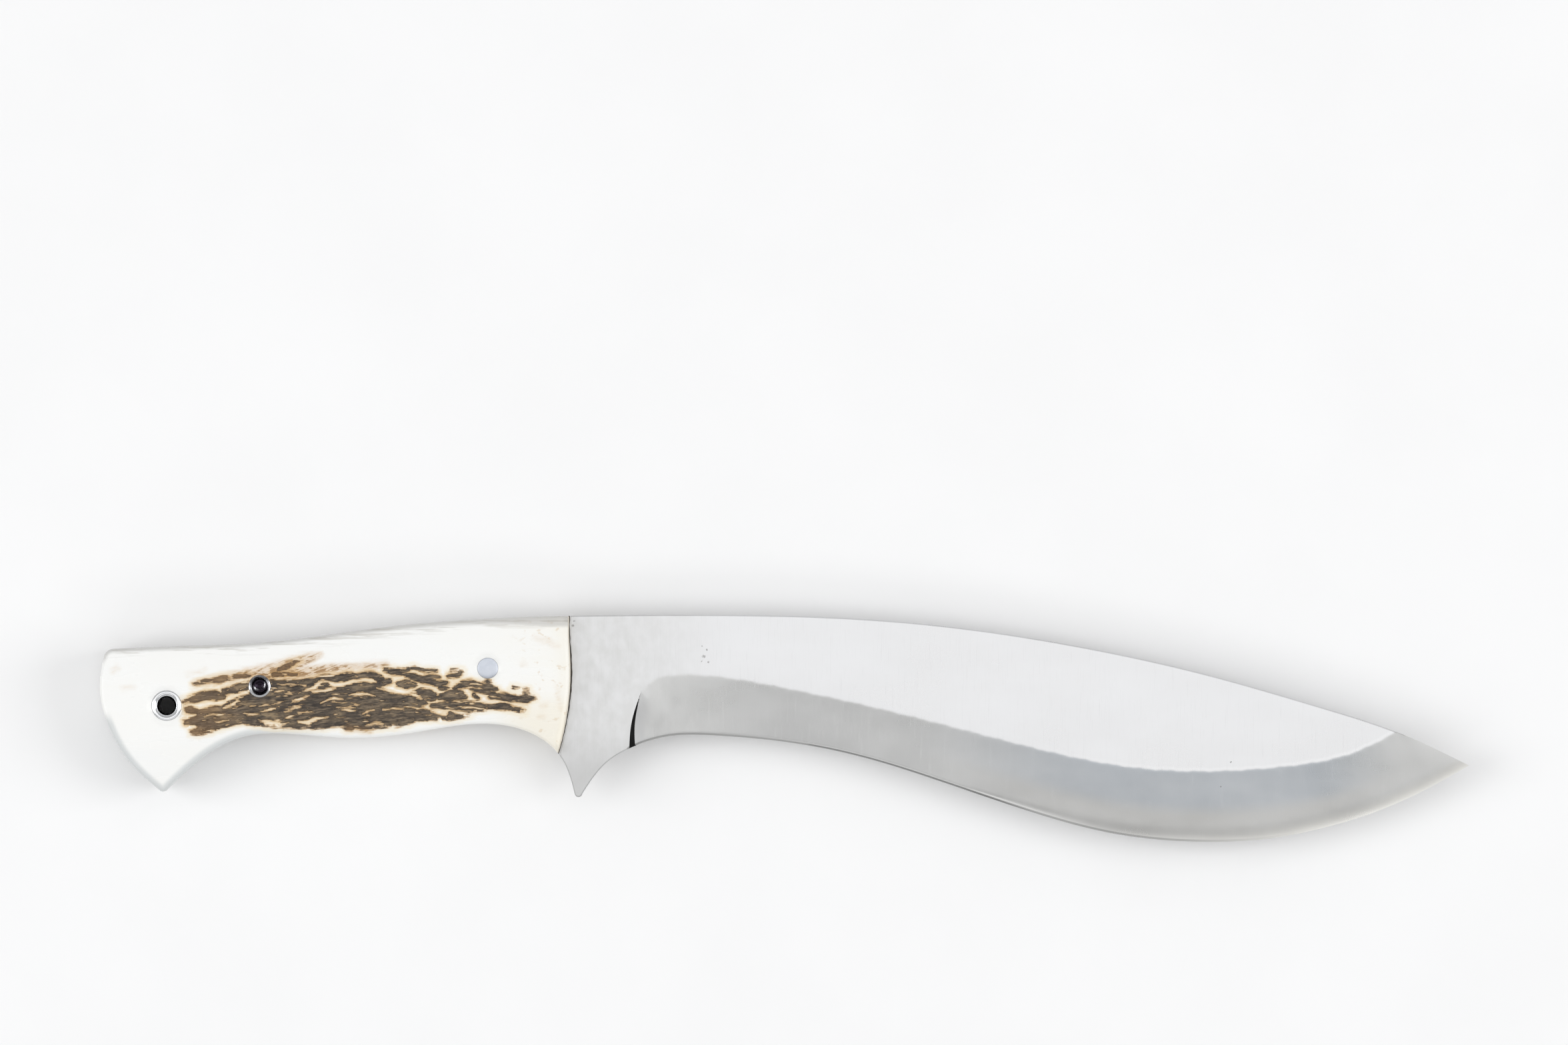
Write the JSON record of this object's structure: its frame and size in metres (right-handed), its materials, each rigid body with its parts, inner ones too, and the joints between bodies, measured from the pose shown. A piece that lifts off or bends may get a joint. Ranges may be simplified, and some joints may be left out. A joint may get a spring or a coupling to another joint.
{
  "type": "kukri knife",
  "caption": "Fixed-blade kukri-style knife: forward-curved steel blade with a full tang and guard spur, pinned stag antler scales and a flared lanyard tube at the pommel.",
  "frame": {"origin": "centre of the underside of the knife's box, with the knife lying on its back scale and the blade level", "axes": "+X along the knife, from the pommel to the point; +Y across the blade, from the cutting edge to the spine; +Z through the blade's thickness, from the back scale to the front scale"},
  "size_m": [0.3818, 0.0634, 0.0243],
  "materials": {
    "steel": "satin ground, with a finer honed edge",
    "antler": "stag antler: polished white bone with the brown, furrowed bark left on in the middle",
    "glue": "cured dark epoxy",
    "pin_metal": "polished, with fine scratches"
  },
  "bodies": {
    "root": {"blade": "steel", "front_scale": "antler", "back_scale": "antler", "front_glue_film": "glue", "back_glue_film": "glue", "solid_pin": "pin_metal", "cup_rivet": "pin_metal", "lanyard_tube": "pin_metal"}
  },
  "joints": []
}
